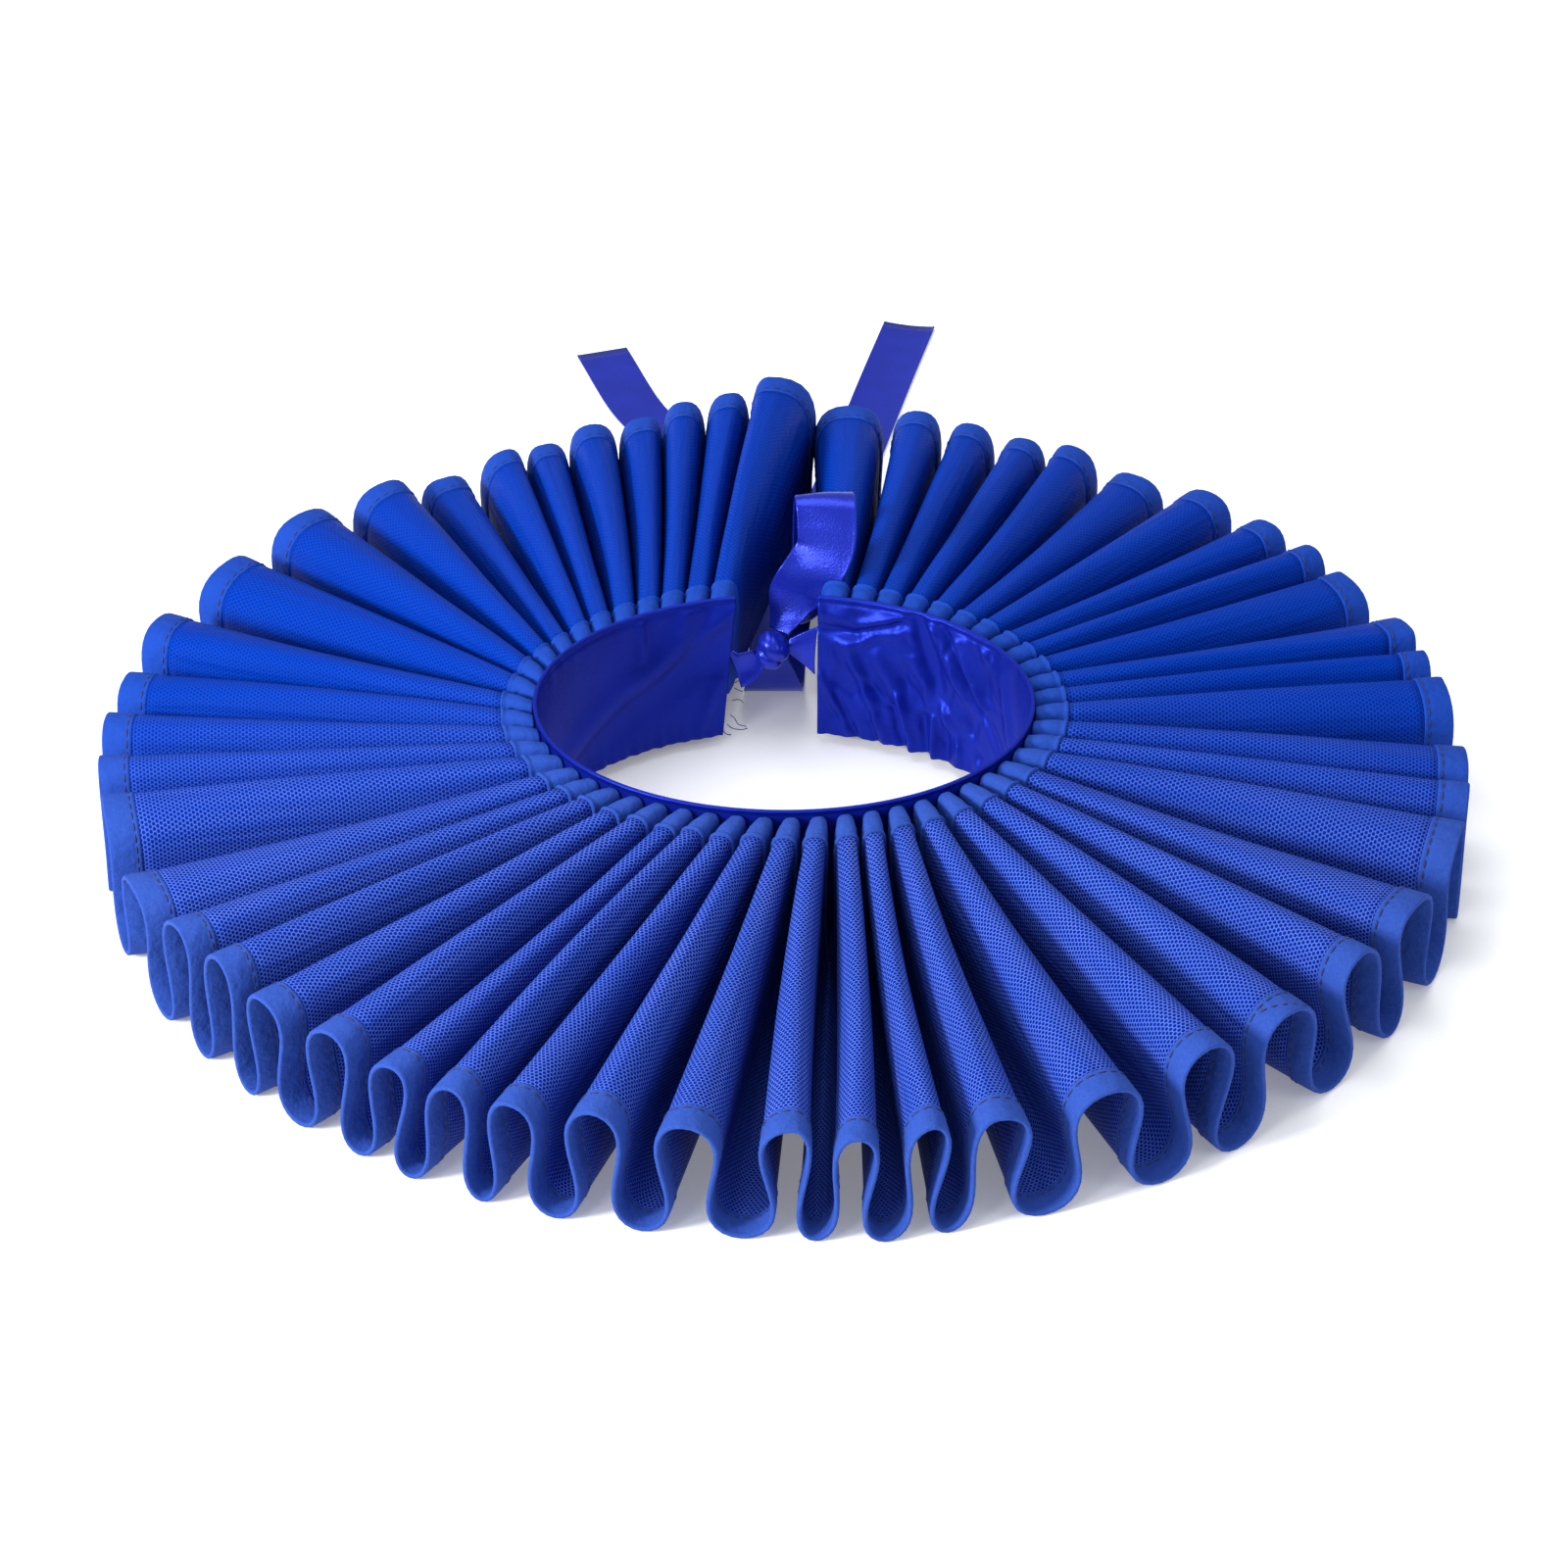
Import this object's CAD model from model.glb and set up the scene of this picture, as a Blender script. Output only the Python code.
"""Ruff collar: the cloth, bindings, satin band and ribbons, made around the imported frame.

Lengths are in millimetres about the neck's centre until a piece is made, then metres in the
frame. The front of the neck is towards -Y and the opening towards +Y. Places along an oval
are arc lengths from the middle of the back, growing towards the left (-X). A place on the
pleated strip is a phase, counted in pleats (whole numbers are crests, halves are troughs),
and a distance out from the neckband.
"""

import bpy
import numpy as np
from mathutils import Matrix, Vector


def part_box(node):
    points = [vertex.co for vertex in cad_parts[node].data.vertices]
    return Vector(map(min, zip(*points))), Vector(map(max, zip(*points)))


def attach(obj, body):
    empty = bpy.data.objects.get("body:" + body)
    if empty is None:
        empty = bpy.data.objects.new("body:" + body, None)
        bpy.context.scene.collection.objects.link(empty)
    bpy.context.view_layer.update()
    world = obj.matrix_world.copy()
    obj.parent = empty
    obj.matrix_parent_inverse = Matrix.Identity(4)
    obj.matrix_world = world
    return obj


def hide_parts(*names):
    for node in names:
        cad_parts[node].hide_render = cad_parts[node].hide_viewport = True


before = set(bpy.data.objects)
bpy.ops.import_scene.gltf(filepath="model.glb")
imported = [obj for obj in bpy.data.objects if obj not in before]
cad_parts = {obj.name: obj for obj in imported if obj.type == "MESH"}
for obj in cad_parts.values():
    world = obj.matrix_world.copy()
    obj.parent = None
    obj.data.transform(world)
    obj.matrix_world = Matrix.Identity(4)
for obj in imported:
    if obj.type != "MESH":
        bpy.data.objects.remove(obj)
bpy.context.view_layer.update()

MM = 0.001

# The neckband and the ruff, as the frame has them
NECK_HALF_WIDTH = 65.0
NECK_HALF_DEPTH = 52.0
OVAL_STATIONS = 4321
RUFF_REACH = 112.5
BAND_LOW, BAND_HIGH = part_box("neckband")
NECK_CENTRE = np.array([0.0, BAND_LOW.y / MM + NECK_HALF_DEPTH, 0.0])
BAND_TOP = BAND_HIGH.z / MM
BAND_FOOT = BAND_LOW.z / MM
BAND_LEFT_END = 13.0
BAND_RIGHT_END = 9.2
BAND_LEFT_SLANT = 4.0
BARE_BAND_END = 1.0
HEM_BINDING_WIDTH = 8.0
NECK_BINDING_WIDTH = 9.0

# The cloths' thicknesses, how far the net goes in under a tape, and how far the lowest cloth
# stands off the floor
NET_CLOTH = 0.34
HEM_TAPE = 1.25
NECK_TAPE = 1.0
BAND_CLOTH = 0.9
RIBBON_CLOTH = 0.4
TUCK = 1.6
STRIP_OFF_FLOOR = 0.02
RIBBON_OFF_FLOOR = 0.15

# The pleats' section: the heights of crests and troughs at the neck, then its shape. Roundness
# bends both flanks of a pleat into loops, and fullness widens its crest and narrows its
# troughs. Full pleats keep some fullness at the neck and lose some roundness at the hem. A
# swell broadens a crest's top. The strip runs on past its end crests by the end flank.
NECK_CREST = 45.0
NECK_TROUGH = 6.5
NECK_ROUNDNESS = 0.13
NECK_FULLNESS = 0.07
FULLNESS_KEPT = 0.5
HEM_ROUNDNESS = 0.15
ROUNDNESS_LOST = 0.35
CREST_SWELL = 1.8
NECK_SWELL = 0.7
NECK_SWELL_REACH = 30.0
END_FLANK = 0.375
CLOTH_PER_PLEAT = 74.0

# The neck tape's small caps on the crests: how far out they start, and how they dip and narrow
# towards the band
CAP_START = 0.1
CAP_DIP = 0.7
CAP_LENGTH = 3.0
CAP_TAPER = 0.08
CAP_END = 1.8

# How far the neck tape's sewn edge stands up in a bead, and a tape's half thickness where its
# fold closes
NECK_TAPE_BEAD = 0.4
TAPE_CLOSE = 0.04

# Stations for each pleat, and rows from the neck to the hem
NET_STEPS = 32
TAPE_STEPS = 32
NET_ROWS = 25

# One row for each stretch of the ruff, from the opening's left side round the front to its
# right side. Each row has a name, then how much of the pitch each side of a crest gains over
# its troughs. Then, with one number for each of its crests, come the spacing along the hem to
# the next crest, the height at the hem, and how far the trough after it is off the middle.
PLEAT_STRETCHES = [
    # name, fullness, spacings, crest heights, trough shifts
    ("left end", 0.12, (11,), (50,), (-1,)),
    ("back left", 0.21, (14, 11, 16, 14, 11), (45, 43, 39, 39, 35), (0, 0, -1, -2, -1)),
    ("rear left", 0.14, (20, 18, 30, 27), (36, 32, 37, 37), (0, -1, -1, -1)),
    ("left side", 0.07, (37, 23, 22, 22, 16, 36), (34, 35, 32, 34, 35, 34),
     (0, -2, -2, -1, 0, 1)),
    ("front left", 0.02, (27, 19, 17, 24, 19, 17, 15, 21), (30, 35, 36, 33, 34, 32, 32, 32),
     (2, 0, 2, 0, -2, -4, 0, 1)),
    ("front", 0.0, (22, 26, 15, 18, 16), (34, 33, 33, 31, 33), (1, 1, -2, -2, -4)),
    ("front right", 0.0, (28, 28, 26, 29, 25), (32, 33, 36, 34, 36), (-2, 1, -3, 5, 6)),
    ("right side", 0.07, (41, 19, 15, 36, 14, 9), (35, 34, 34, 32, 34, 34),
     (0, -1, -1, -1, -1, 1)),
    ("rear right", 0.11, (35, 13, 17, 22, 25, 20), (36, 34, 36, 36, 37, 34),
     (2, -1, 1, 2, 0, 0)),
    ("back right", 0.15, (14, 16, 15, 19), (38, 37, 39, 41), (-1, 0, 1, 0)),
    ("right end", 0.15, (28,), (41,), (0,)),
]
FIRST_CREST = 4.4
LEFT_END_SPACING = 35.0
# Places where the hem reaches farther out, or less far: a pleat's number and how much
UNEVEN_REACH = [(8, 0.0), (9, 2.0), (10, 3.5), (11, 3.0), (12, 1.5), (14, 0.0), (17.5, -2.0),
                (20.5, -1.5), (22, 0.0), (26, 0.0), (27.5, 2.5), (29, 1.0), (30.5, 1.5),
                (33, -1.0), (35, 0.0)]

# Ribbons. Each row is a place along the ribbon's middle, its width there, and the way its
# width points.
LEFT_TIE = [
    # x, y, z, width, width direction
    (-13.4, 50.8, 23.6, 12.0, (0.15, 0.0, 1.0)),
    (-10.6, 50.6, 24.6, 10.5, (0.1, 0.0, 1.0)),
    (-7.0, 51.6, 26.8, 6.0, (-0.2, 0.0, 1.0)),
]
RIGHT_TIE = [
    (8.5, 50.6, 29.0, 15.5, (0.0, 0.0, 1.0)),
    (5.0, 51.8, 29.2, 10.0, (0.0, 0.0, 1.0)),
    (1.1, 52.3, 29.5, 4.0, (0.0, 0.0, 1.0)),
]
STANDING_RIBBON = [
    (-1.6, 57.6, 31.0, 6.0, (0.8, 0.0, 0.6)),
    (0.4, 59.8, 35.0, 10.0, (0.85, 0.0, 0.5)),
    (2.6, 61.6, 40.0, 14.0, (0.9, 0.0, 0.45)),
    (7.6, 62.6, 46.5, 16.0, (1.0, -0.1, 0.3)),
    (11.0, 65.0, 52.3, 16.0, (0.98, -0.16, 0.14)),
    (11.5, 68.0, 58.4, 16.0, (0.99, -0.1, 0.04)),
    (11.2, 71.6, 62.8, 16.0, (1.0, 0.0, 0.0)),
    (10.8, 77.0, 62.6, 16.0, (1.0, 0.1, 0.0)),
    (10.0, 83.0, 57.0, 16.0, (0.9, 0.3, 0.0)),
    (6.5, 87.0, 47.5, 16.0, (0.5, 0.85, 0.0)),
    (3.0, 90.0, 35.0, 16.0, (0.1, 1.0, 0.0)),
    (2.5, 96.0, 20.0, 16.0, (0.05, 0.9, 0.45)),
    (4.0, 107.0, 12.0, 16.0, (-0.3, 0.5, 0.8)),
    (6.5, 120.0, 7.4, 16.0, (-0.75, 0.2, 0.6)),
    (9.5, 135.0, 4.0, 16.0, (-1.0, 0.0, 0.22)),
    (12.0, 150.0, 2.6, 16.0, (-1.0, 0.0, 0.0)),
    (13.3, 165.0, 2.2, 16.0, (-1.0, 0.0, 0.0)),
    (16.8, 184.0, 2.0, 16.0, (-1.0, 0.2, 0.0)),
    (21.5, 206.0, 0.5, 16.0, (-1.0, 0.24, 0.0)),
    (31.0, 250.0, 0.5, 16.0, (-1.0, 0.25, 0.0)),
    (38.9, 285.0, 0.5, 16.0, (-1.0, 0.25, 0.0)),
]
LEFT_TAIL = [
    (-3.6, 57.6, 25.0, 6.0, (1.0, 0.0, 0.0)),
    (-3.4, 60.5, 17.0, 12.0, (1.0, 0.0, 0.0)),
    (-3.0, 66.0, 7.0, 16.0, (1.0, 0.0, 0.0)),
    (-2.4, 78.0, 1.2, 16.0, (1.0, 0.0, 0.0)),
    (-1.6, 98.0, 0.5, 16.0, (1.0, 0.0, 0.0)),
    (0.6, 124.0, 0.5, 16.0, (1.0, 0.0, 0.0)),
    (3.6, 150.0, 0.5, 16.0, (1.0, 0.0, 0.0)),
    (2.0, 172.0, 0.5, 16.0, (1.0, 0.3, 0.0)),
    (-11.0, 193.0, 0.5, 16.0, (1.0, 0.6, 0.0)),
    (-29.0, 210.0, 0.5, 16.0, (1.0, 0.75, 0.0)),
    (-43.0, 230.0, 0.5, 16.0, (1.0, 0.5, 0.0)),
    (-56.0, 268.0, 0.5, 16.0, (1.0, 0.32, 0.0)),
]

# The ribbons' full width, and the steps between two rows as built and as measured
RIBBON_STEPS = 10

# Creases of the satin band, each a soft ridge (or, with a minus, a trough) along a straight
# stretch of it. Places along the band are distances from its own end at the opening.
RIGHT_CREASES = [
    # along and height at one end, along and height at the other, width, depth
    (-2, 37.0, 11, 36.0, 1.4, -1.8),
    (11, 36.5, 25, 42.5, 1.6, -1.6),
    (1, 42.0, 9, 41.0, 2.0, 1.2),
    (11, 39.5, 24, 44.0, 1.7, 1.5),
    (7, 33.0, 20, 39.0, 2.2, 1.8),
    (9, 31.0, 19, 5.0, 2.0, 1.9),
    (1, 22.0, 9.5, 6.0, 1.7, 1.8),
    (5, 17.0, 11.5, 3.0, 1.1, -1.6),
    (15, 13.0, 17, 3.0, 1.0, -1.2),
    (22, 15.0, 25, 3.0, 1.4, -1.8),
    (24, 20.0, 28, 3.0, 1.5, 1.9),
    (29, 45.0, 36, 22.0, 2.6, -2.6),
    (36, 45.0, 60, 14.0, 1.3, -2.2),
    (33, 44.0, 45, 26.0, 2.2, 1.6),
    (42, 42.0, 52, 27.0, 2.4, 2.2),
    (31, 15.0, 32, 3.0, 1.3, -1.6),
    (34.5, 16.0, 35, 3.0, 1.2, 1.6),
    (38, 13.0, 39, 3.0, 1.2, -1.3),
    (43, 12.0, 44, 3.0, 1.3, 1.2),
    (60, 40.0, 64, 22.0, 2.5, 1.4),
    (48, 46.0, 57, 38.0, 1.8, 1.0),
    (17, 30.0, 28, 12.0, 2.6, 1.5),
    (26, 34.0, 40, 16.0, 2.4, 1.3),
]
LEFT_CREASES = [
    (-2, 45.0, 6, 38.0, 2.2, 0.9),
    (6, 46.0, 12, 34.0, 2.2, -0.8),
    (13, 46.0, 15, 40.0, 1.4, 0.6),
    (28, 45.0, 27, 34.0, 1.6, 0.7),
    (62, 10.0, 24, 27.0, 6.0, 1.6),
    (58, 4.0, 4, 30.0, 6.0, -1.6),
    (24, 27.0, 8, 40.0, 5.0, 1.2),
    (3, 20.0, 8, 5.0, 2.4, 0.9),
]

# Small crushed wrinkles over the right end of the band: how many, the stretch they fill, the
# mean and spread of their slants in radians, the ranges of their half lengths and widths, and
# the two depths that one may have as a share of its width
SMALL_WRINKLES = 90
WRINKLED_LENGTH = 62.0
WRINKLE_SLANT = (-1.1, 0.5)
WRINKLE_HALF = (1.5, 4.5)
WRINKLE_WIDTH = (0.8, 1.5)
WRINKLE_DEPTHS = (-0.4, 0.36)

# How far the creased stretches stand in from the oval, the middle and the half length of each
# stretch, measured from its own end, the least that a crease leaves, and how softly that holds
CRUSHED_SWELL = 1.2
CRUSHED_MIDDLE = 28.0
CRUSHED_HALF = 30.0
SOFT_SWELL = 0.6
SOFT_MIDDLE = 30.0
SOFT_HALF = 40.0
LEAST_PUSH = -0.25
CREASE_EASE = 0.15

# A crease is deepest in its middle: a constant share of its depth, and an arch of a sine over
# the rest, with this much of the arch left off at each end
CREASE_BASE = 0.35
CREASE_TRIM = 0.15

# Small gathers at the band's foot and below its rim: depth, how far up or down they reach, and
# the waves that make them, each with its rate along the band and its start
FOOT_GATHER = 0.35
FOOT_REACH = 5.0
FOOT_WAVES = ((1.3, 0.0), (0.37, 1.0))
RIM_GATHER = 0.22
RIM_REACH = 4.0
RIM_WAVES = ((0.9, 2.0), (0.23, 0.0))
# Over this much height below its top the band comes back to the plain oval
RIM_HOLD = 2.5

# The band's section: how far its middle stands inside the oval, its half thickness at the foot
# and where the rim closes, and how far the wall starts above the foot and ends below the top.
# The rolled rim has a radius, a foot below the top, and a middle moved in.
BAND_OFFSET = 0.6
FOOT_HALF = 0.12
RIM_CLOSE = 0.05
WALL_START = 0.3
WALL_END = 2.2
BAND_RIM = 0.5
RIM_FOOT = 1.9
RIM_IN = 0.1
BAND_STATIONS = 700
BAND_ROWS = 58

# Colours, as linear red, green and blue. The pale ones are towards the front.
BLUE_THREAD = (0.0003, 0.041, 0.36)
PALE_THREAD = (0.09, 0.145, 0.56)
BLUE_STREAK = (0.0005, 0.031, 0.33)
PALE_STREAK = (0.02, 0.07, 0.44)
NET_HOLE = (0.0005, 0.018, 0.22)
DARK_HOLE = (0.001, 0.011, 0.14)
BINDING_BLUE = (0.001, 0.038, 0.31)
PALE_BINDING = (0.032, 0.072, 0.3)
BINDING_FLECK = (0.009, 0.044, 0.29)
SATIN_BLUE = (0.004, 0.014, 0.26)
RIBBON_BLUE = (0.01, 0.022, 0.36)
STITCH_BLUE = (0.001, 0.004, 0.07)

# Places along Y in the frame where the cloth begins to turn paler, and where it is palest
PALE_FROM = -30.0
PALE_TO = -130.0

# How each cloth shines: roughness, strength and the shine's colour
SHINE = {
    "blue_net": (0.6, 0.1, (0.15, 0.45, 1.0)),
    "blue_binding": (0.85, 0.25, (0.5, 0.6, 1.0)),
    "blue_satin": (0.42, 0.3, (0.4, 0.46, 1.0)),
    "blue_ribbon": (0.26, 0.55, (0.55, 0.62, 1.0)),
    "dark_thread": (0.6, 0.5, (1.0, 1.0, 1.0)),
}
SATIN_METALLIC = 0.5
THREAD_SHEEN = 0.2

# The net's holes, in millimetres, how soft their edges are as a share of their radius, and its
# streaks, finer across the pleats than along them
NET_PITCH = 1.05
HOLE_SIZE = 0.82
HOLE_EDGE = 0.15
STREAK_SCALE = (420.0, 24.0, 0.0)

# How fine the other patterns are
FLECK_SCALE = 1400.0
PUCKER_SCALE = 260.0
SATIN_DRIFT_SCALE = 90.0
SATIN_GRAIN_SCALE = 900.0
RIBBON_GRAIN_SCALE = 1500.0
THREAD_SCALE = 900.0

# How much darker and lighter than their colours the satin and the thread drift
SATIN_DRIFT = (0.8, 1.25)
THREAD_DRIFT = (0.7, 1.4)

# Relief: strength, and height in metres
FOLD_RELIEF = (0.6, 0.0012)
MESH_RELIEF = (0.35, 0.0001)
FLECK_RELIEF = (0.5, 0.0002)
GRAIN_RELIEF = (0.25, 0.0003)


# ---------------------------------------------------------------- places on the collar


def unit(vectors):
    """The same vectors at length one."""
    return vectors / np.linalg.norm(vectors, axis=-1, keepdims=True)


def walked_along(points):
    """How far each row of points is from the first, walked from row to row."""
    steps = np.linalg.norm(np.diff(points, axis=0), axis=-1)
    return np.concatenate([np.zeros((1, *steps.shape[1:])), np.cumsum(steps, axis=0)])


def oval(outwards, arc):
    """Plan points on the neck's oval, moved outwards, at arc lengths measured along it."""
    width, depth = NECK_HALF_WIDTH + outwards, NECK_HALF_DEPTH + outwards
    turn = np.linspace(-2 * np.pi, 4 * np.pi, OVAL_STATIONS)
    x, y = -width * np.sin(turn), depth * np.cos(turn)
    walked = np.concatenate([[0.0], np.cumsum(np.hypot(np.diff(x), np.diff(y)))])
    walked -= np.interp(0.0, turn, walked)
    at = np.interp(arc, walked, turn)
    return np.stack([-width * np.sin(at), depth * np.cos(at)], -1)


def oval_length(outwards):
    """The whole way round the neck's oval, moved outwards."""
    a, b = NECK_HALF_WIDTH + outwards, NECK_HALF_DEPTH + outwards
    squash = ((a - b) / (a + b)) ** 2
    return np.pi * (a + b) * (1 + 3 * squash / (10 + np.sqrt(4 - 3 * squash)))


FULLNESS = np.array([row[1] for row in PLEAT_STRETCHES for _ in row[2]])
SPACINGS = np.array([LEFT_END_SPACING] + [gap for row in PLEAT_STRETCHES for gap in row[2]])
HEM_CRESTS = np.array([height for row in PLEAT_STRETCHES for height in row[3]], float)
TROUGH_SHIFTS = np.array([0.0] + [shift for row in PLEAT_STRETCHES for shift in row[4]])
PLEATS = len(HEM_CRESTS)
CREST_NUMBERS = np.arange(PLEATS)

# Small unevenness of each pleat, in millimetres: how it bows sideways and upwards between
# the neck and the hem.
chance = np.random.default_rng(17)
SIDE_BOW = chance.normal(0.0, 0.8, PLEATS)
CREST_BOW = chance.normal(0.9, 0.7, PLEATS)


def hem_arc(phase):
    """Arc length along the hem: crests at their spacings, flanks bent into rounded loops, and
    each trough shifted a little to one side."""
    crests = FIRST_CREST + np.concatenate([[-SPACINGS[0], 0.0], np.cumsum(SPACINGS[1:])])
    numbers = np.arange(-1, PLEATS + 1)
    which = np.clip(np.floor(phase).astype(int) + 1, 0, PLEATS)
    local, shift = SPACINGS[which], TROUGH_SHIFTS[which]
    shift = shift * (0.5 - 0.5 * np.cos(2 * np.pi * phase))
    fullness = np.interp(phase, CREST_NUMBERS, FULLNESS)
    roundness = HEM_ROUNDNESS - ROUNDNESS_LOST * fullness
    loops = local * (roundness * np.sin(4 * np.pi * phase) + fullness * np.sin(2 * np.pi * phase))
    return np.interp(phase, numbers, crests) + loops + shift


def neck_arc(phase, out):
    """Arc length along the neckband: evenly spaced, and narrow at the crests' very ends."""
    start = BAND_LEFT_END + BARE_BAND_END
    end = oval_length(0.0) - BAND_RIGHT_END - BARE_BAND_END
    pitch = (end - start) / PLEATS
    fullness = NECK_FULLNESS - CAP_TAPER * np.exp(-((out / CAP_END) ** 2))
    fullness = fullness + FULLNESS_KEPT * np.interp(phase, CREST_NUMBERS, FULLNESS)
    loops = NECK_ROUNDNESS * np.sin(4 * np.pi * phase) + fullness * np.sin(2 * np.pi * phase)
    return start + pitch * (phase + 0.5 + loops)


def strip_surface(phase, out):
    """The pleated strip's middle surface.

    In plan it lies between the neck and the hem, bowed sideways a little. Its height follows
    one cosine wave for each pleat, from the trough line to the crest line, with broader crests
    where the pleats are full and at the neck. At the neck end the crests dip to the band.
    """
    phase, out = np.broadcast_arrays(np.asarray(phase, float), np.asarray(out, float))
    share = out / RUFF_REACH
    neck, hem = oval(0.0, neck_arc(phase, out)), oval(RUFF_REACH, hem_arc(phase))
    swell = CREST_SWELL * np.interp(phase, CREST_NUMBERS, FULLNESS) * share
    swell = swell + NECK_SWELL * np.exp(-((out / NECK_SWELL_REACH) ** 2))
    wave = 1 - (0.5 - 0.5 * np.cos(2 * np.pi * phase)) ** (1 + swell)
    belly = np.sin(np.pi * np.clip(share, 0.0, 1.0))
    way = unit(hem - neck)
    aside = np.stack([-way[..., 1], way[..., 0]], -1)
    side_bow = np.interp(phase, CREST_NUMBERS, SIDE_BOW) * belly * wave
    reach = share * (1 + np.interp(phase, *np.transpose(UNEVEN_REACH)) / RUFF_REACH)
    plan = neck + (hem - neck) * reach[..., None] + aside * side_bow[..., None]

    level = HEM_TAPE / 2 + STRIP_OFF_FLOOR
    hem_crest = np.interp(phase, CREST_NUMBERS, HEM_CRESTS) - level
    inner_share = out / (RUFF_REACH - HEM_BINDING_WIDTH)
    trough = level + (NECK_TROUGH - level) * np.maximum(0.0, 1 - inner_share)
    crest = NECK_CREST * (1 - share) + hem_crest * share
    crest = crest + np.interp(phase, CREST_NUMBERS, CREST_BOW) * belly
    crest = crest - CAP_DIP * np.clip(1 - out / CAP_LENGTH, 0.0, 1.0) ** 2
    height = trough + (crest - trough) * wave
    return np.concatenate([plan, height[..., None]], -1)


def strip_normal(phase, out):
    """The way the strip's upper side faces."""
    small_phase, small_out = 2e-3, 0.05
    along = strip_surface(phase + small_phase, out) - strip_surface(phase - small_phase, out)
    across = strip_surface(phase, out + small_out) - strip_surface(phase, out - small_out)
    return unit(np.cross(across, along))


def lifted(phase, out, lift):
    """Points standing off the strip's middle surface by a lift, upwards where positive."""
    lift = np.asarray(lift, float)[..., None]
    return strip_surface(phase, out) + strip_normal(phase, out) * lift


def strip_phases(steps):
    """Stations along the strip, the same number for each pleat, with every crest and trough."""
    first, last = round(-END_FLANK * steps), round((PLEATS - 1 + END_FLANK) * steps)
    return np.arange(first, last + 1) / steps


# ---------------------------------------------------------------- meshes


def make_piece(name, points, face_groups, material, replaces=(), uv=None):
    """A piece with its faces turned outwards, riding on the frame. Points are in millimetres
    about the neck's centre, and uv holds one place for each point, in metres."""
    points = np.asarray(points, float).reshape(-1, 3)
    volume = 0.0
    for group in face_groups:
        for k in range(1, group.shape[1] - 1):
            a, b, c = points[group[:, 0]], points[group[:, k]], points[group[:, k + 1]]
            volume += np.einsum("ij,ij->", a, np.cross(b, c))
    if volume < 0:
        face_groups = [group[:, ::-1] for group in face_groups]
    faces = [face for group in face_groups for face in group.tolist()]
    mesh = bpy.data.meshes.new(name)
    mesh.from_pydata(((points + NECK_CENTRE) * MM).tolist(), [], faces)
    mesh.materials.append(material)
    if uv is not None:
        corners = np.concatenate([group.ravel() for group in face_groups])
        layer = mesh.uv_layers.new(name="UVMap")
        layer.data.foreach_set("uv", np.asarray(uv).reshape(-1, 2)[corners].ravel())
    mesh.shade_smooth()
    piece = bpy.data.objects.new(name, mesh)
    bpy.context.scene.collection.objects.link(piece)
    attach(piece, "root")
    if replaces:
        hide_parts(*replaces)
    return piece


def carried_faces(stations, around):
    """Faces of a closed profile carried along stations, its two ends closed by quads between
    the first half of the profile and the second half, taken backwards."""
    place = np.arange(stations * around).reshape(stations, around)
    after = np.roll(place, -1, axis=1)
    sides = np.stack([place[:-1], after[:-1], after[1:], place[1:]], -1).reshape(-1, 4)
    half = around // 2
    near, far = np.arange(half), around - 1 - np.arange(half)
    quads = np.stack([near[:-1], near[1:], far[1:], far[:-1]], -1)
    last = (stations - 1) * around
    return np.concatenate([sides, quads[:, ::-1], quads + last])


def rod_faces(rods, sections, around):
    """Faces of many closed rods: rings of points in a row, with a flat end at each end."""
    start = (np.arange(rods) * sections * around)[:, None, None]
    ring = np.arange(around)
    low = start + (np.arange(sections - 1) * around)[None, :, None] + ring
    low_next = start + (np.arange(sections - 1) * around)[None, :, None] + (ring + 1) % around
    sides = np.stack([low, low_next, low_next + around, low + around], -1).reshape(-1, 4)
    first = start[:, 0] + ring[::-1]
    last = start[:, 0] + (sections - 1) * around + ring
    return [sides, np.concatenate([first, last])]


# ---------------------------------------------------------------- materials


def add_node(tree, kind, links=None, **values):
    """A shader node with its properties set, and its sockets filled or linked by name."""
    made = tree.nodes.new(kind)
    for name, value in values.items():
        setattr(made, name, value)
    for name, value in (links or {}).items():
        socket = made.inputs[name]
        if isinstance(value, bpy.types.NodeSocket):
            tree.links.new(value, socket)
        else:
            socket.default_value = value
    return made


def cloth_material(name):
    """A cloth's material, its node tree and its shader, which has the cloth's own shine."""
    roughness, strength, tint = SHINE[name]
    material = bpy.data.materials.new(name)
    material.use_nodes = True
    shader = material.node_tree.nodes["Principled BSDF"]
    shader.inputs["Roughness"].default_value = roughness
    shader.inputs["Specular IOR Level"].default_value = strength
    shader.inputs["Specular Tint"].default_value = (*tint, 1.0)
    return material, material.node_tree, shader


def noise(tree, vector, scale, detail=2.0):
    """Soft noise, from 0 to 1, over a place."""
    return add_node(tree, "ShaderNodeTexNoise",
                    {"Vector": vector, "Scale": scale, "Detail": detail}).outputs["Fac"]


def relief(tree, height, size, under=None):
    """A normal that follows a height pattern, laid over another normal if there is one."""
    strength, distance = size
    links = {"Height": height, "Strength": strength, "Distance": distance}
    if under is not None:
        links["Normal"] = under
    return add_node(tree, "ShaderNodeBump", links).outputs["Normal"]


def mixed(tree, factor, first, second):
    """A colour between two, which are colours or sockets, by a factor socket."""
    mix = add_node(tree, "ShaderNodeMix", data_type="RGBA")
    tree.links.new(factor, mix.inputs["Factor"])
    for socket, value in zip([s for s in mix.inputs if s.type == "RGBA"], (first, second)):
        if isinstance(value, bpy.types.NodeSocket):
            tree.links.new(value, socket)
        else:
            socket.default_value = (*value, 1.0)
    return [socket for socket in mix.outputs if socket.type == "RGBA"][0]


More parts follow.
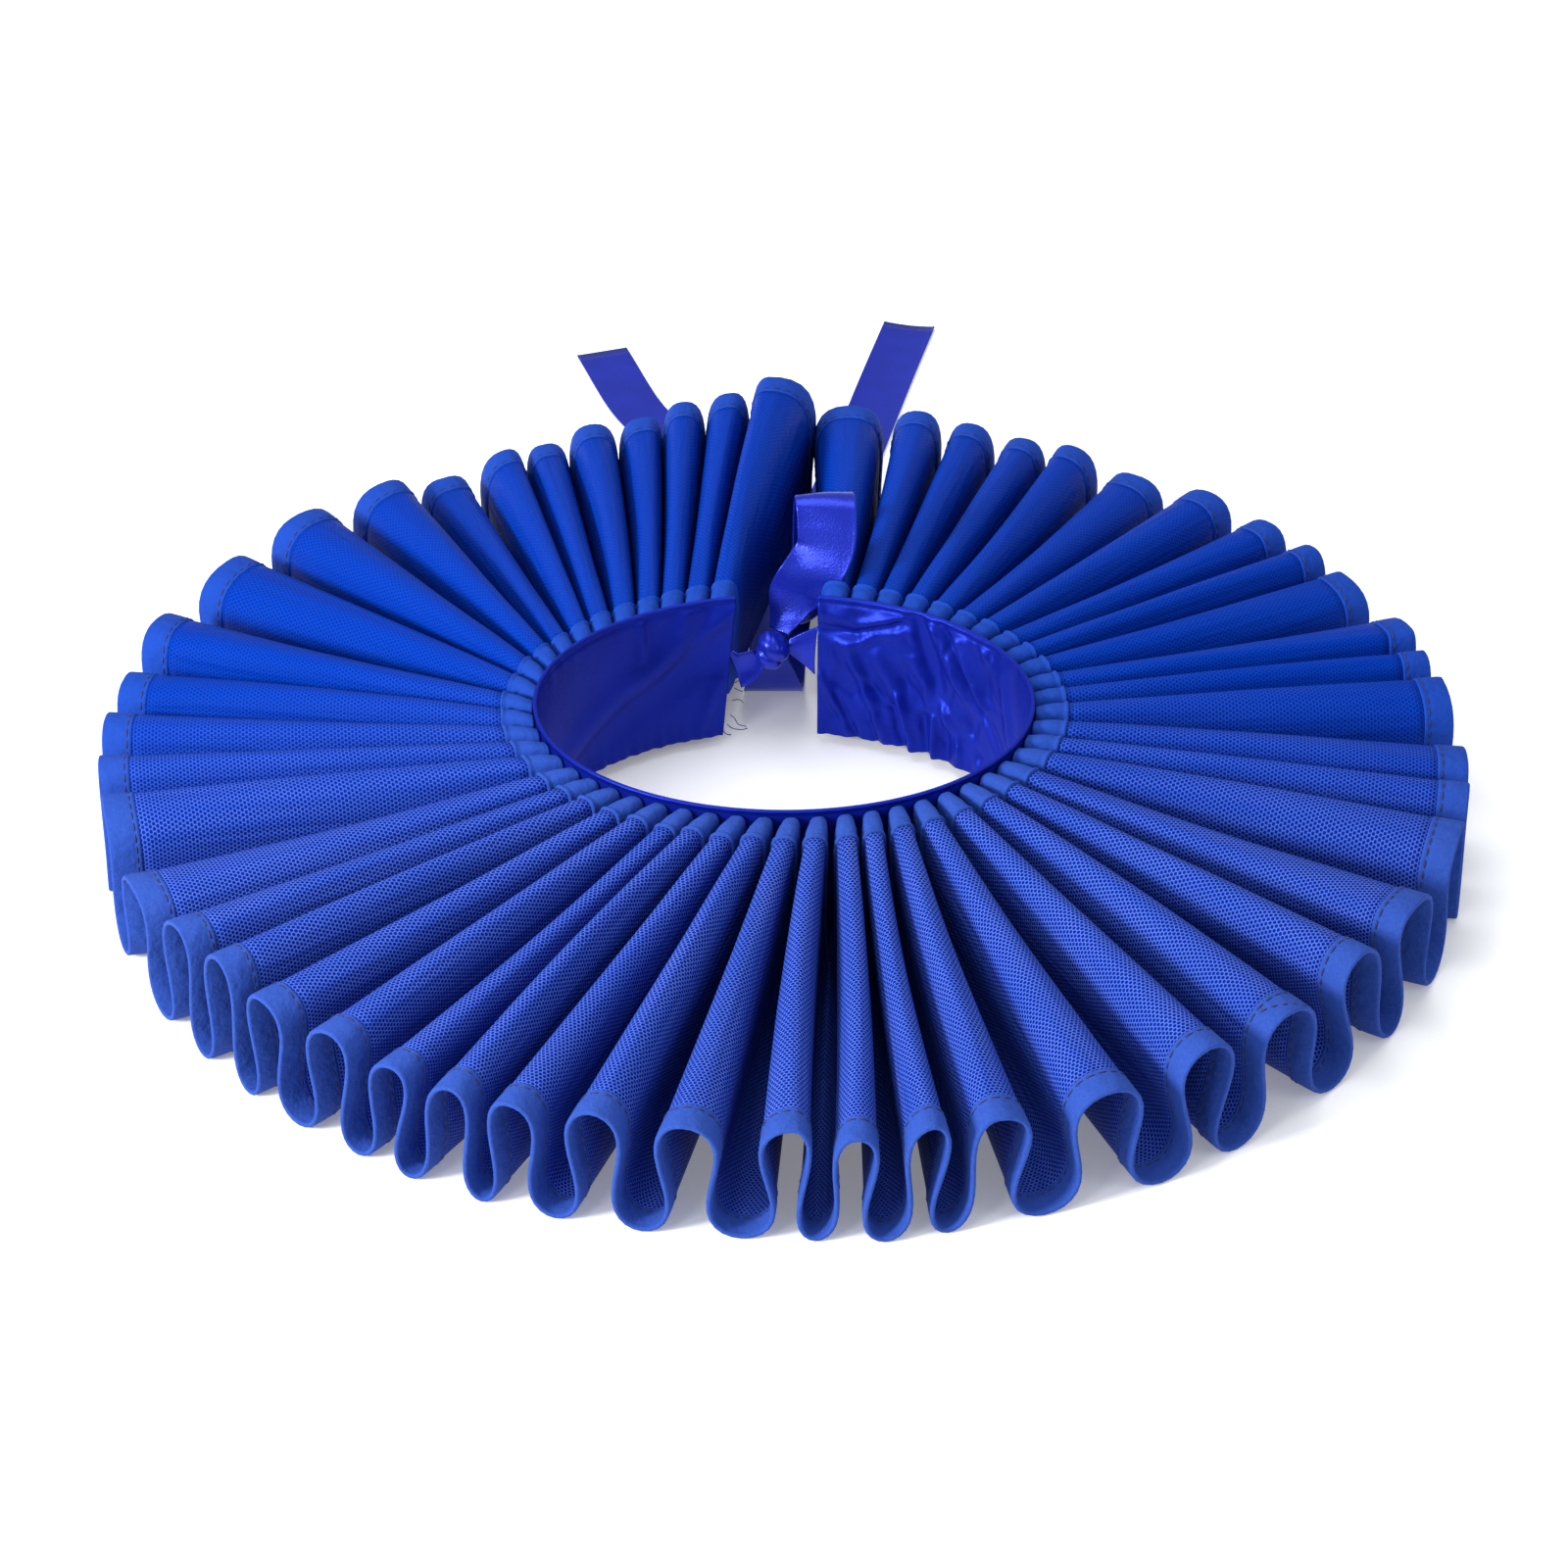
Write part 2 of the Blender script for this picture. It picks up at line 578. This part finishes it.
def mottled(tree, place, scale, colour, drift):
    """A colour that drifts between a darker and a lighter tone of itself."""
    dark, light = (np.multiply(colour, share) for share in drift)
    return mixed(tree, noise(tree, place, scale, 3.0), dark, light)


def paler_forwards(tree, place):
    """0 over the back of the collar, rising to 1 over its front, where the cloth is paler."""
    forwards = add_node(tree, "ShaderNodeSeparateXYZ", {"Vector": place}).outputs["Y"]
    ends = {"From Min": PALE_FROM * MM, "From Max": PALE_TO * MM}
    return add_node(tree, "ShaderNodeMapRange", {"Value": forwards, **ends},
                    interpolation_type="SMOOTHSTEP").outputs["Result"]


def net_material():
    """Blue net: a lattice of rows of round holes, every other row moved half a hole along.

    A place's distance from the nearest hole's middle is the smaller of its distances in two
    rectangular lattices, the second moved by half a cell each way. Soft streaks run along the
    pleats.
    """
    material, tree, shader = cloth_material("blue_net")
    uv = add_node(tree, "ShaderNodeUVMap", uv_map="UVMap").outputs["UV"]
    cell = Vector((NET_PITCH * MM, NET_PITCH * MM * np.sqrt(3), 1.0))
    distances = []
    for shift in (Vector((0, 0, 0)), cell / 2):
        moved = add_node(tree, "ShaderNodeVectorMath", {0: uv, 1: shift}, operation="ADD")
        centred = add_node(tree, "ShaderNodeVectorMath",
                           {0: moved.outputs["Vector"], 1: cell / 2, 2: -cell / 2},
                           operation="WRAP")
        flat = add_node(tree, "ShaderNodeVectorMath",
                        {0: centred.outputs["Vector"], 1: (1, 1, 0)}, operation="MULTIPLY")
        length = add_node(tree, "ShaderNodeVectorMath", {0: flat.outputs["Vector"]},
                          operation="LENGTH")
        distances.append(length.outputs["Value"])
    nearest = add_node(tree, "ShaderNodeMath", {0: distances[0], 1: distances[1]},
                       operation="MINIMUM").outputs["Value"]
    radius = HOLE_SIZE * MM / 2
    thread = add_node(tree, "ShaderNodeMapRange",
                      {"Value": nearest, "From Min": radius * (1 - HOLE_EDGE),
                       "From Max": radius * (1 + HOLE_EDGE)},
                      interpolation_type="SMOOTHSTEP").outputs["Result"]
    place = add_node(tree, "ShaderNodeTexCoord").outputs["Object"]
    forwards = paler_forwards(tree, place)
    stretched = add_node(tree, "ShaderNodeVectorMath", {0: uv, 1: STREAK_SCALE},
                         operation="MULTIPLY").outputs["Vector"]
    streaks = noise(tree, stretched, 1.0, 3.0)
    yarn = mixed(tree, forwards, BLUE_THREAD, PALE_THREAD)
    yarn = mixed(tree, streaks, yarn, mixed(tree, forwards, BLUE_STREAK, PALE_STREAK))
    hole = mixed(tree, forwards, NET_HOLE, DARK_HOLE)
    tree.links.new(mixed(tree, thread, hole, yarn), shader.inputs["Base Color"])
    folds = relief(tree, streaks, FOLD_RELIEF)
    tree.links.new(relief(tree, thread, MESH_RELIEF, folds), shader.inputs["Normal"])
    return material


def binding_material():
    """Matte blue tape with a fine fleck and soft puckers."""
    material, tree, shader = cloth_material("blue_binding")
    place = add_node(tree, "ShaderNodeTexCoord").outputs["Object"]
    fleck = noise(tree, place, FLECK_SCALE)
    puckers = relief(tree, noise(tree, place, PUCKER_SCALE), FOLD_RELIEF)
    tape = mixed(tree, paler_forwards(tree, place), BINDING_BLUE, PALE_BINDING)
    tree.links.new(mixed(tree, fleck, tape, BINDING_FLECK), shader.inputs["Base Color"])
    tree.links.new(relief(tree, fleck, FLECK_RELIEF, puckers), shader.inputs["Normal"])
    return material


def satin_material(name, colour, grain_scale):
    """Shiny satin: a coloured gloss over a deep blue, with a very fine uneven grain."""
    material, tree, shader = cloth_material(name)
    shader.inputs["Metallic"].default_value = SATIN_METALLIC
    place = add_node(tree, "ShaderNodeTexCoord").outputs["Object"]
    tone = mottled(tree, place, SATIN_DRIFT_SCALE, colour, SATIN_DRIFT)
    tree.links.new(tone, shader.inputs["Base Color"])
    grain = noise(tree, place, grain_scale)
    tree.links.new(relief(tree, grain, GRAIN_RELIEF), shader.inputs["Normal"])
    return material


def thread_material():
    """Dark blue sewing thread, with a little sheen."""
    material, tree, shader = cloth_material("dark_thread")
    shader.inputs["Sheen Weight"].default_value = THREAD_SHEEN
    shader.inputs["Sheen Roughness"].default_value = 0.4
    shader.inputs["Sheen Tint"].default_value = (0.3, 0.4, 1.0, 1.0)
    place = add_node(tree, "ShaderNodeTexCoord").outputs["Object"]
    tone = mottled(tree, place, THREAD_SCALE, STITCH_BLUE, THREAD_DRIFT)
    tree.links.new(tone, shader.inputs["Base Color"])
    return material


# ---------------------------------------------------------------- the ruff


def cloth_places(phase, surface):
    """How far along the cloth each column of the strip lies, in millimetres.

    Each half pleat takes the same length of cloth in every row, and within it a place is the
    share of the row's own length that has been walked.
    """
    walked = walked_along(surface)
    turns = np.where(np.isclose(phase * 2, np.round(phase * 2)))[0]
    half = CLOTH_PER_PLEAT / 2
    which = np.clip(np.searchsorted(turns, np.arange(len(phase)), side="right") - 1,
                    0, len(turns) - 2)
    start, end = walked[turns[which]], walked[turns[which + 1]]
    number = (phase[turns[which]] * 2)[:, None]
    return half * (number + (walked - start) / (end - start))


def add_net():
    """The net, a thin shell from under one binding to under the other."""
    phase = strip_phases(NET_STEPS)
    start, end = NECK_BINDING_WIDTH - TUCK, RUFF_REACH - HEM_BINDING_WIDTH + TUCK
    out = np.linspace(start, end, NET_ROWS)
    profile_out = np.concatenate([out, out[::-1]])
    lift = np.repeat([NET_CLOTH / 2, -NET_CLOTH / 2], len(out))
    points = lifted(phase[:, None], profile_out[None, :], lift[None, :])
    along = cloth_places(phase, strip_surface(phase[:, None], profile_out[None, :]))
    uv = np.stack([along, np.broadcast_to(profile_out, along.shape)], -1) * MM
    faces = carried_faces(len(phase), len(profile_out))
    return make_piece("ruff_net_cloth", points, [faces], net_material(), ["ruff_net"], uv)


def tape_profile(start, end, thick, fold, bead):
    """A tape's section as distances out and lifts: two long sides, a round fold at one end
    and a thinner edge at the other. fold is 1 where the fold is the outer end, -1 where it
    is the inner end, and bead is how much the sewn edge's ridge stands up."""
    turn = np.linspace(0.0, np.pi / 2, 5)
    flat = np.array([0.0, 0.25, 0.5, 0.9, 1.3, 1.9, 3.2, 4.6])
    rise = thick / 2 * np.array([0.35, 0.75, 0.88, 0.86, 0.68, 0.84, 0.95, 1.0])
    rise = rise + bead * np.array([0.0, 0.6, 1.0, 0.7, 0.0, 0.0, 0.0, 0.0])
    width = end - start
    round_out = width - thick / 2 + thick / 2 * np.sin(turn)
    along = np.concatenate([flat, round_out])
    rise = np.concatenate([rise, thick / 2 * np.cos(turn)])
    rise[-1] = TAPE_CLOSE
    out = start + along if fold > 0 else end - along
    return np.concatenate([out, out[::-1]]), np.concatenate([rise, -rise[::-1]])


def add_tape(name, node_name, start, end, thick, fold, bead, material):
    """A binding tape carried along the pleats."""
    phase = strip_phases(TAPE_STEPS)
    out, lift = tape_profile(start, end, thick, fold, bead)
    points = lifted(phase[:, None], out[None, :], lift[None, :])
    faces = carried_faces(len(phase), len(out))
    return make_piece(name, points, [faces], material, [node_name])


STITCH_LENGTH = 2.2
STITCH_STEP = 3.0
STITCH_INSET = 1.3
STITCH_RADIUS = 0.24
STITCH_FLATNESS = 0.8
STITCH_MARGIN = 2.0

# Places along a stitch, and how thick it is at each. Its middle line lies within the tape's
# half thickness: where its ends are, as a share of that, and how much its middle bows up.
STITCH_SHARES = np.array([0.0, 0.12, 0.5, 0.88, 1.0])
STITCH_SWELL = np.array([0.35, 0.9, 1.0, 0.9, 0.35])
STITCH_SEAT = 0.62
STITCH_BOW = 0.2

# The stitches of the sewn join: their radius, the place in pleats that the row crosses, and how
# many there are. Along the cloth and outwards: from one to the next, how far each runs, and
# from the crossing to the first.
JOIN_RADIUS = 0.4
JOIN_PHASE = 32.0
JOIN_STITCHES = 5
JOIN_STEP = np.array([2.3, 1.15])
JOIN_RUN = np.array([1.7, 0.85])
JOIN_START = np.array([-5.0, 0.9])

ROD_SIDES = 5


def ringed(middle, first, second):
    """A ring of points round each point of some lines, from two ways across them."""
    around = np.arange(ROD_SIDES) * 2 * np.pi / ROD_SIDES
    return (middle[..., None, :] + first[..., None, :] * np.cos(around)[:, None]
            + second[..., None, :] * np.sin(around)[:, None])


def stitch_rods(phase, walked, starts, ends, sides, radii):
    """Stitches lying on the strip. Each runs from one (cloth place, distance out) to another,
    bowed up in its middle, on the upper side (1) or the lower side (-1). The first two are
    stations along the strip, and how much cloth lies before each."""
    place = starts[:, None] + (ends - starts)[:, None] * STITCH_SHARES[None, :, None]
    at, out = np.interp(place[..., 0], walked, phase), place[..., 1]
    middle, normal = strip_surface(at, out), strip_normal(at, out)
    aside = np.cross(normal, unit(np.gradient(middle, axis=1)))
    lift = HEM_TAPE / 2 * (STITCH_SEAT + STITCH_BOW * np.sin(np.pi * STITCH_SHARES))
    middle = middle + normal * sides[:, None, None] * lift[None, :, None]
    radius = radii[:, None, None] * STITCH_SWELL[None, :, None]
    return ringed(middle, normal * radius * STITCH_FLATNESS, aside * radius)


def add_stitches(material):
    """Topstitching along the hem binding on both sides, and the sewn slanting join."""
    phase = strip_phases(TAPE_STEPS)
    walked = walked_along(strip_surface(phase, RUFF_REACH - HEM_BINDING_WIDTH))
    places = np.arange(STITCH_MARGIN, walked[-1] - STITCH_MARGIN, STITCH_STEP)
    out = RUFF_REACH - HEM_BINDING_WIDTH + STITCH_INSET
    line = np.column_stack([places, np.full(len(places), out)])
    join_place = [np.interp(JOIN_PHASE, phase, walked), out]
    join = join_place + JOIN_START + JOIN_STEP * np.arange(JOIN_STITCHES)[:, None]
    starts = np.concatenate([line, line, join])
    ends = np.concatenate([line + [STITCH_LENGTH, 0.0]] * 2 + [join + JOIN_RUN])
    counts = [len(places), len(places), JOIN_STITCHES]
    sides = np.repeat([1.0, -1.0, 1.0], counts)
    radii = np.repeat([STITCH_RADIUS, STITCH_RADIUS, JOIN_RADIUS], counts)
    points = stitch_rods(phase, walked, starts, ends, sides, radii)
    return make_piece("hem_stitches", points, rod_faces(*points.shape[:3]), material)


# ---------------------------------------------------------------- the satin band


def crease_height(along, height, rows):
    """How far creases push the band in towards the neck: each is a bell across its own line,
    fading out round its ends."""
    push = np.zeros(np.broadcast(along, height).shape)
    for a0, h0, a1, h1, width, depth in rows:
        run, rise = a1 - a0, h1 - h0
        share = ((along - a0) * run + (height - h0) * rise) / (run**2 + rise**2)
        share = np.clip(share, 0.0, 1.0)
        apart = np.hypot(along - a0 - run * share, height - h0 - rise * share)
        arch = np.sin(np.pi * (CREASE_TRIM + (1 - 2 * CREASE_TRIM) * share))
        fade = CREASE_BASE + (1 - CREASE_BASE) * arch
        push += depth * fade * np.exp(-((apart / width) ** 2))
    return push


def small_wrinkles():
    """Short creases scattered over the right end of the band, mostly slanting downwards away
    from the opening, some standing in and some pressed out."""
    centre = chance.uniform((0.0, BAND_FOOT), (WRINKLED_LENGTH, BAND_TOP), (SMALL_WRINKLES, 2))
    slant = chance.normal(*WRINKLE_SLANT, SMALL_WRINKLES)
    half = chance.uniform(*WRINKLE_HALF, SMALL_WRINKLES)[:, None]
    run = np.stack([np.cos(slant), np.sin(slant)], -1) * half
    width = chance.uniform(*WRINKLE_WIDTH, SMALL_WRINKLES)
    depth = width * chance.choice(WRINKLE_DEPTHS, SMALL_WRINKLES)
    return np.column_stack([centre - run, centre + run, width, depth])


def softly_above(values, least):
    """The same values, bent smoothly so that none is less than the least."""
    return least + np.log1p(np.exp((values - least) / CREASE_EASE)) * CREASE_EASE


def ripples(arc, waves):
    """The product of some sine waves along the band."""
    return np.prod([np.sin(arc * rate + start) for rate, start in waves], axis=0)


SCATTERED_CREASES = small_wrinkles()


def band_surface(share, height, inwards):
    """The band's middle surface, moved in towards the neck: upright over the neck's oval, its
    left end slanting, with its creases and small gathers at its foot and below its rim."""
    share, height = np.broadcast_arrays(np.asarray(share, float), np.asarray(height, float))
    right = oval_length(0.0) - BAND_RIGHT_END
    down = np.clip((BAND_TOP - height) / (BAND_TOP - BAND_FOOT), 0.0, 1.0)
    arc = BAND_LEFT_END + (right - BAND_LEFT_END) * share
    from_left, from_right = arc - BAND_LEFT_END, right - arc
    arc = arc + BAND_LEFT_SLANT * (1 - share) ** 8 * down
    push = crease_height(from_right, height, [*RIGHT_CREASES, *SCATTERED_CREASES])
    push = push + crease_height(from_left, height, LEFT_CREASES)
    push = push + CRUSHED_SWELL * np.exp(-(((from_right - CRUSHED_MIDDLE) / CRUSHED_HALF) ** 4))
    push = push + SOFT_SWELL * np.exp(-(((from_left - SOFT_MIDDLE) / SOFT_HALF) ** 4))
    foot = FOOT_GATHER * np.exp(-(((height - BAND_FOOT) / FOOT_REACH) ** 2))
    rim = RIM_GATHER * np.exp(-(((height - BAND_TOP) / RIM_REACH) ** 2))
    push = push + foot * ripples(arc, FOOT_WAVES) + rim * ripples(arc, RIM_WAVES)
    push = softly_above(push, LEAST_PUSH)
    push = push * np.clip(1 - (height - BAND_TOP + RIM_HOLD).clip(0) / RIM_HOLD, 0.0, 1.0)
    tangent = unit(oval(0.0, arc + 0.05) - oval(0.0, arc - 0.05))
    inner_side = np.stack([-tangent[..., 1], tangent[..., 0]], -1)
    plan = oval(0.0, arc) + inner_side * (BAND_OFFSET + inwards + push)[..., None]
    return np.concatenate([plan, height[..., None]], -1)


def add_neckband(material):
    """The satin band: a thin wall with a round rolled rim along its top."""
    share = np.linspace(0.0, 1.0, BAND_STATIONS)
    rows = np.linspace(BAND_FOOT + WALL_START, BAND_TOP - WALL_END, BAND_ROWS)
    turn = np.linspace(-0.42 * np.pi, 0.5 * np.pi, 7)
    rim_height = BAND_TOP - BAND_RIM + BAND_RIM * np.sin(turn)
    rim_in = RIM_IN + BAND_RIM * np.cos(turn)
    height = np.concatenate([[BAND_FOOT], rows, [BAND_TOP - RIM_FOOT], rim_height])
    inner = np.concatenate([[FOOT_HALF], np.full(len(rows) + 1, BAND_CLOTH / 2), rim_in])
    inner[-1] = RIM_CLOSE
    profile_height = np.concatenate([height, height[::-1]])
    inwards = np.concatenate([inner, -inner[::-1]])
    points = band_surface(share[:, None], profile_height[None, :], inwards[None, :])
    arc = share[:, None] * (oval_length(0.0) - BAND_RIGHT_END - BAND_LEFT_END)
    uv = np.stack(np.broadcast_arrays(arc, profile_height[None, :]), -1) * MM
    faces = carried_faces(len(share), len(profile_height))
    return make_piece("neckband_satin", points, [faces], material, ["neckband"], uv)


# ---------------------------------------------------------------- ribbons and knot


def through(rows, steps):
    """A smooth curve through the rows: each stretch is a cubic that leaves and meets its rows
    along the line between their neighbours."""
    rows = np.asarray(rows, float)
    padded = np.concatenate([[2 * rows[0] - rows[1]], rows, [2 * rows[-1] - rows[-2]]])
    place = np.linspace(0, len(rows) - 1, (len(rows) - 1) * steps + 1)
    at = np.minimum(place.astype(int), len(rows) - 2)
    t = (place - at)[:, None]
    before, here, there, beyond = (padded[at + i] for i in range(4))
    bend = 2 * before - 5 * here + 4 * there - beyond
    twist = 3 * here - before - 3 * there + beyond
    return 0.5 * (2 * here + (there - before) * t + bend * t**2 + twist * t**3)


# Places across a ribbon, as shares of its half width: over its edge, with how thick it is at
# each, and between its edges
SELVEDGE_PLACES = np.array([1.0, 0.985, 0.955, 0.91])
SELVEDGE_RISE = np.array([0.25, 1.3, 1.5, 1.2])
INNER_PLACES = np.linspace(-0.86, 0.86, 9)


def add_ribbon(name, node_name, rows, cup, material):
    """A woven ribbon along its rows: flat or cupped across its width, with a slightly thicker
    selvedge along each edge."""
    table = [(x, y, z, width, *unit(np.array(way))) for x, y, z, width, way in rows]
    curve = through(table, RIBBON_STEPS)
    middle, width, way = curve[:, :3], curve[:, 3:4], curve[:, 4:]
    middle[:, 2] = np.maximum(middle[:, 2], RIBBON_CLOTH / 2 + RIBBON_OFF_FLOOR)
    run = unit(np.gradient(middle, axis=0))
    way = unit(way - run * np.einsum("ij,ij->i", way, run)[:, None])
    normal = np.cross(run, way)
    across = np.concatenate([-SELVEDGE_PLACES, INNER_PLACES, SELVEDGE_PLACES[::-1]])
    thick = np.concatenate([SELVEDGE_RISE, np.ones(len(INNER_PLACES)), SELVEDGE_RISE[::-1]])
    thick = thick * RIBBON_CLOTH / 2
    bowl = cup * (across**2 - 0.4)
    place = np.concatenate([across, across[::-1]])
    lift = np.concatenate([bowl + thick, (bowl - thick)[::-1]])
    points = (middle[:, None] + way[:, None] * (width * place[None, :] / 2)[..., None]
              + normal[:, None] * lift[None, :, None])
    uv = np.stack([np.broadcast_to(walked_along(middle)[:, None], points.shape[:2]),
                   width * place[None, :] / 2], -1) * MM
    faces = carried_faces(len(curve), len(place))
    return make_piece(name, points, [faces], material, [node_name], uv)


# The knot: how far its wraps lean, how much it fills out its box each way, how closely its
# wraps and the folds across them follow one another, and how high its core and both are
KNOT_TURN = 0.5
KNOT_FULLNESS = (1.3, 1.1, 1.0)
KNOT_WRAPS = 2.6
KNOT_FOLDS = 5.5
KNOT_CORE = 0.7
WRAP_HEIGHT = 0.3
FOLD_HEIGHT = 0.03


def add_knot(material):
    """The knot: a rounded lump wound round with folded ribbon, so that slanting ridges with
    sharp valleys between them run over it."""
    low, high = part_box("tie_knot")
    centre = (np.array(low) + np.array(high)) / 2 / MM - NECK_CENTRE
    radii = (np.array(high) - np.array(low)) / 2 / MM * KNOT_FULLNESS
    turn = np.linspace(0.0, 2 * np.pi, 72, endpoint=False)
    rise = np.linspace(-np.pi / 2 + 0.03, np.pi / 2 - 0.03, 49)
    t, r = turn[None, :], rise[:, None]
    x, y, z = np.cos(r) * np.cos(t), np.cos(r) * np.sin(t), np.sin(r) + 0 * t
    slant = z * np.cos(KNOT_TURN) + x * np.sin(KNOT_TURN)
    cross = x * np.cos(KNOT_TURN) - z * np.sin(KNOT_TURN)
    wraps = np.abs(np.sin(KNOT_WRAPS * slant + 0.5)) ** 0.5
    folds = np.abs(np.sin(KNOT_FOLDS * cross + 3.0 * slant)) ** 0.7
    swell = KNOT_CORE + WRAP_HEIGHT * wraps + FOLD_HEIGHT * folds
    points = np.stack([x, y, z], -1) * swell[..., None] * radii + centre
    faces = rod_faces(1, *points.shape[:2])
    return make_piece("knot", points, faces, material, ["tie_knot"])


THREAD_RADIUS = 0.13

# Loose threads at the band's left end. Each row is a start, and where it goes from there.
LOOSE_THREADS = [
    # start, then offsets from it
    ((-13.2, 50.6, 19.0), ((1.5, 0.2, 0.8), (3.4, 0.4, 0.2), (5.0, 0.4, 0.6))),
    ((-13.4, 50.5, 17.5), ((1.0, 0.4, -1.0), (2.2, 0.6, -1.6))),
    ((-14.6, 50.2, 9.0), ((1.2, 0.1, -1.2), (2.2, 0.2, -3.2), (4.4, 0.3, -4.0))),
    ((-15.4, 50.0, 6.0), ((1.6, 0.1, -1.4), (4.0, 0.3, -1.9), (5.5, 0.3, -1.4))),
    ((-16.6, 49.8, 4.4), ((0.8, 0.2, -1.4), (2.2, 0.3, -1.9))),
    ((-14.0, 50.4, 13.5), ((1.8, 0.1, 0.2), (3.0, 0.3, -0.8))),
]


def add_threads(material):
    """Short frayed threads, each a thin round strand along a smooth curve."""
    strands = []
    for start, offsets in LOOSE_THREADS:
        line = through([start] + [np.add(start, offset) for offset in offsets], 8)
        keep = np.linspace(0, len(line) - 1, 13).round().astype(int)
        strands.append(line[keep])
    middle = np.array(strands)
    run = unit(np.gradient(middle, axis=1))
    side = unit(np.cross(run, [0.0, 0.0, 1.0]))
    points = ringed(middle, side * THREAD_RADIUS, np.cross(side, run) * THREAD_RADIUS)
    return make_piece("loose_threads", points, rod_faces(*points.shape[:3]), material)


# ---------------------------------------------------------------- studio

CAMERA_RISE = 33.8
CAMERA_DISTANCE = 1330.0
CAMERA_LENS = 116.75
AIM_HEIGHT = 20.0

# Lights, in metres and watts, all facing one place
LIT_PLACE = Vector((0.0, -0.06, 0.02))
LIGHTS = [
    # name, place, size, power
    ("overhead", (-0.2, 0.15, 1.5), (1.4, 1.1), 15.0),
    ("front_left", (-0.8, -1.3, 1.1), (0.4, 0.4), 6.0),
    ("low_left", (-1.15, -0.8, 0.6), (0.3, 0.3), 29.0),
    ("front_right", (1.4, -0.9, 0.9), (0.7, 0.9), 4.0),
]
FLOOR_REACH = 12.0
FLOOR_LEVEL = -0.0002


def add_camera():
    """The camera, looking down on the front of the collar."""
    aim = (NECK_CENTRE + [0.0, 0.0, AIM_HEIGHT]) * MM
    rise = np.radians(CAMERA_RISE)
    back = np.array([0.0, -np.cos(rise), np.sin(rise)])
    data = bpy.data.cameras.new("camera")
    data.lens = CAMERA_LENS
    data.clip_start, data.clip_end = 0.05, 50.0
    camera = bpy.data.objects.new("camera", data)
    bpy.context.scene.collection.objects.link(camera)
    camera.location = aim + back * CAMERA_DISTANCE * MM
    camera.rotation_euler = Vector(-back).to_track_quat("-Z", "Y").to_euler()
    bpy.context.scene.camera = camera


def add_light(name, place, size, power):
    """A soft rectangular light facing the collar."""
    data = bpy.data.lights.new(name, "AREA")
    data.shape = "RECTANGLE"
    data.size, data.size_y = size
    data.energy = power
    light = bpy.data.objects.new(name, data)
    bpy.context.scene.collection.objects.link(light)
    light.location = place
    light.rotation_euler = (LIT_PLACE - Vector(place)).to_track_quat("-Z", "Y").to_euler()


def add_floor():
    """A white floor, which glows a little."""
    material = bpy.data.materials.new("studio_floor")
    material.use_nodes = True
    shader = material.node_tree.nodes["Principled BSDF"]
    shader.inputs["Base Color"].default_value = (0.9, 0.9, 0.9, 1.0)
    shader.inputs["Roughness"].default_value = 0.9
    shader.inputs["Specular IOR Level"].default_value = 0.1
    shader.inputs["Emission Color"].default_value = (1.0, 1.0, 1.0, 1.0)
    shader.inputs["Emission Strength"].default_value = 0.2
    mesh = bpy.data.meshes.new("floor")
    corners = [(-1, -1), (1, -1), (1, 1), (-1, 1)]
    corners = [(x * FLOOR_REACH, y * FLOOR_REACH, FLOOR_LEVEL) for x, y in corners]
    mesh.from_pydata(corners, [], [(0, 1, 2, 3)])
    mesh.materials.append(material)
    floor = bpy.data.objects.new("floor", mesh)
    bpy.context.scene.collection.objects.link(floor)


def add_studio():
    """A white floor, a pale sky and four soft lights."""
    add_floor()
    world = bpy.data.worlds.new("sky")
    world.use_nodes = True
    sky = world.node_tree.nodes["Background"]
    sky.inputs["Color"].default_value = (0.9, 0.94, 1.0, 1.0)
    sky.inputs["Strength"].default_value = 0.6
    bpy.context.scene.world = world
    for row in LIGHTS:
        add_light(*row)
    bpy.context.scene.view_settings.view_transform = "Standard"


def main():
    add_camera()
    add_studio()
    satin = satin_material("blue_satin", SATIN_BLUE, SATIN_GRAIN_SCALE)
    ribbon = satin_material("blue_ribbon", RIBBON_BLUE, RIBBON_GRAIN_SCALE)
    binding = binding_material()
    thread = thread_material()

    net = add_net()
    hem = add_tape("hem_tape", "hem_binding", RUFF_REACH - HEM_BINDING_WIDTH, RUFF_REACH,
                   HEM_TAPE, 1, 0.0, binding)
    caps = add_tape("neck_tape", "neck_binding", CAP_START, NECK_BINDING_WIDTH,
                    NECK_TAPE, -1, NECK_TAPE_BEAD, binding)
    stitches = add_stitches(thread)
    band = add_neckband(satin)
    threads = add_threads(thread)
    left_tie = add_ribbon("left_tie", "tie_left", LEFT_TIE, 1.2, ribbon)
    right_tie = add_ribbon("right_tie", "tie_right", RIGHT_TIE, 1.0, ribbon)
    standing = add_ribbon("standing_loop", "standing_ribbon", STANDING_RIBBON, 0.5, ribbon)
    tail = add_ribbon("lying_tail", "left_tail", LEFT_TAIL, 0.0, ribbon)
    knot = add_knot(ribbon)


main()
